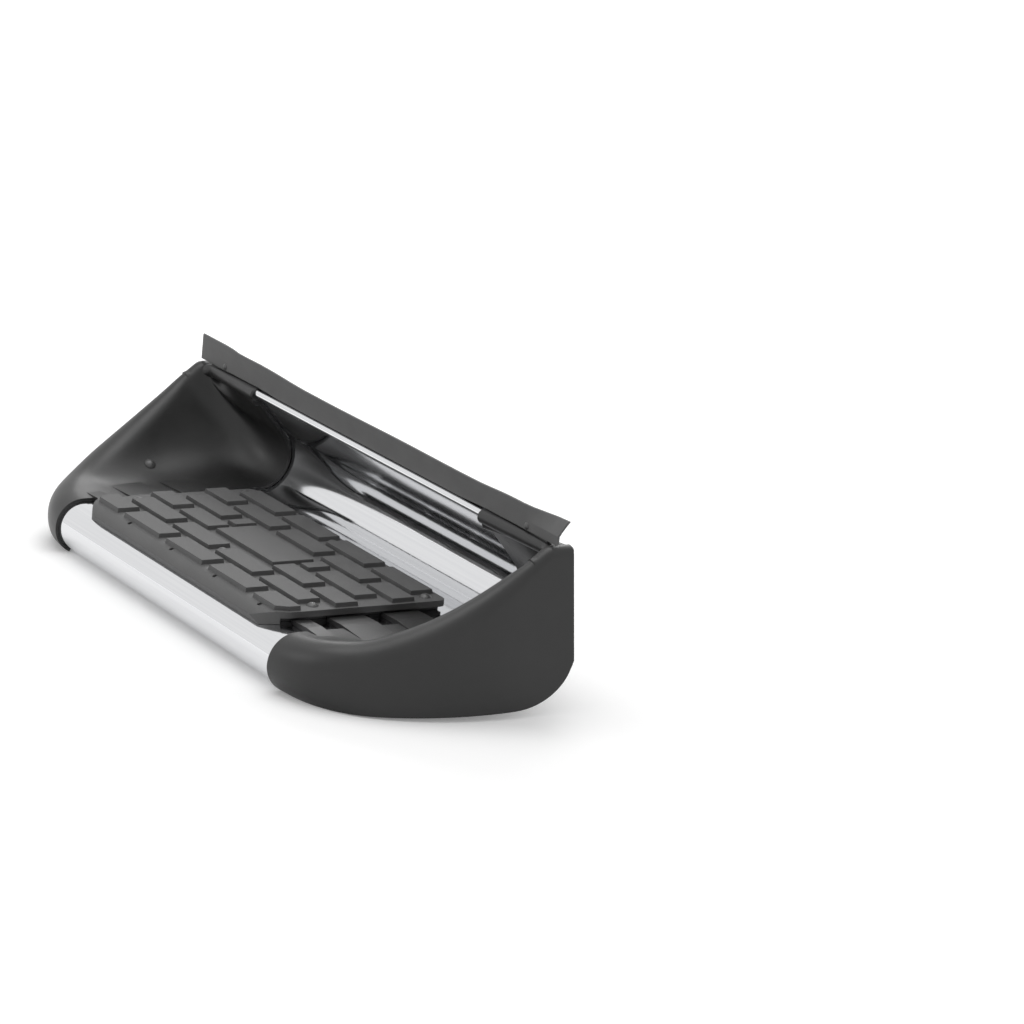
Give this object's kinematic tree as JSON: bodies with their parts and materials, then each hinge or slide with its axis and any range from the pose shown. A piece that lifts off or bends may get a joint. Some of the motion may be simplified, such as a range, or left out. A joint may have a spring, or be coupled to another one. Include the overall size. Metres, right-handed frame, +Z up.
{
  "type": "bed side step",
  "caption": "Fixed step for the side of a pickup bed: folded stainless trough with a bricked tread pad, bowl-shaped end caps and a body seal along the top.",
  "frame": {"origin": "middle of the four bolt holes, in the underside plane of the two mount rails", "axes": "X along the step from its left end to its right end, Y from the nose to the back, Z up from the mounting plane"},
  "size_m": [0.598, 0.2233, 0.1577],
  "materials": {
    "stainless": "satin stainless sheet",
    "plated_steel": "dull zinc plate",
    "pad_rubber": "fine grained dark grey moulding",
    "cap_plastic": "satin black moulding",
    "seal_rubber": "matt dark grey strip",
    "pin_plastic": "satin black pin"
  },
  "bodies": {
    "root": {"step_shell": "stainless", "left_mount_rail": "plated_steel", "right_mount_rail": "plated_steel", "tread_pad": "pad_rubber", "pad_rivets": "pin_plastic", "rivet_washers": "plated_steel", "left_end_cap": "cap_plastic", "right_end_cap": "cap_plastic", "left_cap_pin": "pin_plastic", "right_cap_pin": "pin_plastic", "body_seal": "seal_rubber", "seal_pins": "pin_plastic", "seal_clip": "plated_steel"}
  },
  "joints": []
}
